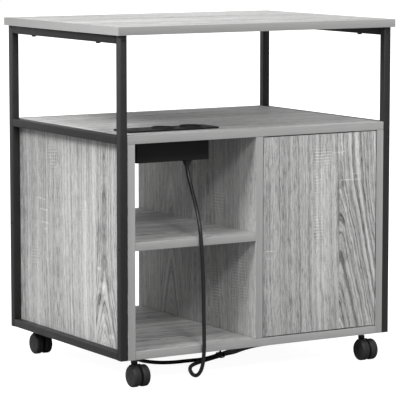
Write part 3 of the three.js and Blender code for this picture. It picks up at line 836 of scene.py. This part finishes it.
# ------------------------------------------------------------------ charging station
softened("charging_station_housing", [station_plastic], 0.0009, segments=3)
softened("charging_station_plate", [station_plastic], 0.0007, segments=2)
for i in (1, 2):
    node = f"mains_socket_{i}"
    softened(node, [station_plastic], 0.0003, segments=2, angle=25)
    spot, (low, high) = centre(node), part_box(node)
    floor_of_cup = high.z - 17 * MM
    for side, dy in (("front", -1.0), ("rear", 1.0)):
        bm = bmesh.new()
        bmesh.ops.create_grid(bm, x_segments=3, y_segments=10, size=0.5)
        for vert in bm.verts:
            bow = 1.6 * MM * (1 - (2 * vert.co.y) ** 2)
            vert.co = Vector((
                spot.x + vert.co.x * 4.0 * MM,
                spot.y + dy * (19.15 * MM - bow),
                floor_of_cup + 6.2 * MM + vert.co.y * 11.6 * MM,
            ))
        clip = mesh_object(f"{node}_{side}_earth_clip", bm, [bright])
        thick = clip.modifiers.new("thickness", "SOLIDIFY")
        thick.thickness = 0.4 * MM
        thick.offset = 0.0
        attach(clip, body_of(node))
softened("usb_port_insert", [soft_plastic], 0.0003, segments=2)
usb_spot = centre("usb_port_insert")
usb_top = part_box("usb_port_insert")[1].z
for side, dx in (("left", -8 * MM), ("right", 8 * MM)):
    bm = bmesh.new()
    bmesh.ops.create_cube(bm, size=1.0)
    for vert in bm.verts:
        vert.co = Vector((
            usb_spot.x + dx + vert.co.x * 11.0 * MM,
            usb_spot.y - 0.9 * MM + vert.co.y * 1.6 * MM,
            usb_top - 6.2 * MM + vert.co.z * 8.8 * MM,
        ))
    tongue = bevelled(mesh_object(f"usb_{side}_port_tongue", bm, [nylon]), 0.3 * MM)
    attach(tongue, body_of("usb_port_insert"))

# ------------------------------------------------------------------ casters
# Radius and distance from the wheel's inner face, in millimetres, from the bore round to the cap.
wheel_outline = [
    (2.6, 9.3), (2.6, 0.0), (16.4, 0.0), (18.4, 0.7), (19.4, 1.6), (19.9, 3.0), (20.0, 4.2), (20.0, 10.6),
    (19.9, 11.7), (19.5, 12.7), (18.9, 13.5), (18.3, 14.0), (17.9, 14.0), (17.5, 14.5), (15.2, 14.75),
    (12.5, 14.9), (9.0, 15.0), (6.4, 15.05), (6.1, 14.6), (5.6, 14.6), (5.3, 15.05), (3.0, 15.15),
    (0.0, 15.18),
]
wheel_profile = [(radius * MM, depth * MM) for radius, depth in wheel_outline]
tread = moulded("caster_tread", 0.020, 0.62, 0.2, grain=900.0, depth=0.00005)
tread_bands = range(3, 10)
bands = [int(k in tread_bands) for k in range(len(wheel_profile) - 1)]
for node in frame["nodes"]:
    if node.endswith("_wheel"):
        low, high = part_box(node)
        spot = centre(node)
        outward = -1.0 if node.endswith("left_wheel") else 1.0
        inner = high.x if outward < 0 else low.x
        wheel = lathe(node + "_finish", wheel_profile, [black_plastic, tread], 72, bands=bands)
        turn = Matrix.Rotation(outward * math.pi / 2, 4, "Y")
        place(wheel, turn, Vector((inner, spot.y, (low.z + high.z) / 2)))
        ride_as(wheel, node)
    elif node.endswith("_hood"):
        softened(node, [black_plastic], 0.0005, segments=2, angle=35)
    elif node.endswith("_caster_stem"):
        softened(node, [steel], 0.0003, segments=1, angle=40)

# ------------------------------------------------------------------ screws and caps
def button_screw(name, spot, outward, radius, height, material, body_node, recess=0.5):
    """A domed head with a round recess, seated on a face."""
    profile = [(0.0, height * 0.30), (radius * recess * 0.98, height * 0.30), (radius * recess, height)]
    for i in range(1, 7):
        t = i / 6 * math.pi / 2
        profile.append((radius * (recess + (1 - recess) * math.sin(t)), height * (0.35 + 0.65 * math.cos(t))))
    profile += [(radius, 0.0), (0.0, 0.0)]
    head = lathe(name, profile, [material], 30)
    turn = Vector((0, 0, 1)).rotation_difference(outward).to_matrix().to_4x4()
    place(head, turn, spot)
    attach(head, body_of(body_node))
    return head


BOLT_BELOW_TOP = 7 * MM
PANEL_SCREW_HEIGHT = 0.255
CAP_WIDTH, CAP_DEPTH, CAP_MIDDLE = 12.2 * MM, 5.6 * MM, 3.2 * MM
for node in ("left_front_post", "right_front_post"):
    low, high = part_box(node)
    button_screw(
        node + "_bolt", Vector(((low.x + high.x) / 2, low.y, high.z - BOLT_BELOW_TOP)), Vector((0, -1, 0)),
        3.4 * MM, 1.5 * MM, black_plastic, node,
    )
for node in ("left_front_post", "left_rear_post", "right_front_post", "right_rear_post"):
    low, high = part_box(node)
    outside = -1.0 if node.startswith("left") else 1.0
    face = low.x if outside < 0 else high.x
    button_screw(
        node + "_panel_screw",
        Vector((face, (low.y + high.y) / 2, PANEL_SCREW_HEIGHT)), Vector((outside, 0, 0)),
        2.6 * MM, 1.1 * MM, black_plastic, node,
    )
    bm = bmesh.new()
    bmesh.ops.create_cube(bm, size=1.0)
    for vert in bm.verts:
        vert.co = Vector((
            (low.x + high.x) / 2 + vert.co.x * CAP_WIDTH,
            (low.y + high.y) / 2 + vert.co.y * CAP_WIDTH,
            low.z + CAP_MIDDLE + vert.co.z * CAP_DEPTH,
        ))
    cap = bevelled(mesh_object(node + "_foot_cap", bm, [soft_plastic]), 0.8 * MM)
    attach(cap, body_of(node))

# ------------------------------------------------------------------ CAD nodes that stay
finish_for = {
    "_screw": frame_paint, "hinge_leaf": steel, "latch_strike": steel, "latch_housing": nylon,
    "latch_plunger": nylon, "charger_board": board_green, "_axle": steel,
}
for node, obj in frame["nodes"].items():
    if obj.hide_render:
        continue
    for ending, material in finish_for.items():
        if ending in node:
            obj.material_slots[0].material = material

# ------------------------------------------------------------------ studio
AMBIENT = 0.52
world = bpy.data.worlds.new("studio")
bpy.context.scene.world = world
world.use_nodes = True
backdrop = world.node_tree.nodes["Background"]
backdrop.inputs["Color"].default_value = (1.0, 1.0, 1.0, 1.0)
sight = world.node_tree.nodes.new("ShaderNodeLightPath").outputs["Is Camera Ray"]
glow = world.node_tree.nodes.new("ShaderNodeMapRange")
glow.inputs["To Min"].default_value = AMBIENT
glow.inputs["To Max"].default_value = 1.0
world.node_tree.links.new(sight, glow.inputs["Value"])
world.node_tree.links.new(glow.outputs["Result"], backdrop.inputs["Strength"])

floor_bm = bmesh.new()
bmesh.ops.create_grid(floor_bm, x_segments=8, y_segments=8, size=14.0)
floor_net = Net("pale_floor", 0.9, 0.0)
floor_net.shader.inputs["Base Color"].default_value = (0.30, 0.30, 0.30, 1.0)
floor_net.shader.inputs["Emission Color"].default_value = (1.0, 1.0, 1.0, 1.0)
floor_sight = floor_net.node("ShaderNodeLightPath").outputs["Is Camera Ray"]
floor_net.put(floor_net.shader.inputs["Emission Strength"], floor_net.mul(floor_sight, 0.95))
ground = mesh_object("floor", floor_bm, [floor_net.material])
ground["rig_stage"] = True


def soft_sun(name, toward, strength, spread):
    data = bpy.data.lights.new(name, "SUN")
    data.energy = strength
    data.angle = math.radians(spread)
    lamp = link(bpy.data.objects.new(name, data))
    lamp.rotation_mode = "QUATERNION"
    lamp.rotation_quaternion = Vector(toward).to_track_quat("Z", "Y")
    return lamp


soft_sun("key", (-0.70, -0.10, 0.70), 0.95 * math.pi, 26)
soft_sun("front_key", (-0.20, -0.79, 0.57), 0.50 * math.pi, 11)
soft_sun("back_fill", (-0.45, 0.75, 0.45), 0.13 * math.pi, 40)
soft_sun("right_fill", (0.80, 0.10, 0.50), 0.28 * math.pi, 40)

# ------------------------------------------------------------------ size
low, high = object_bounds()
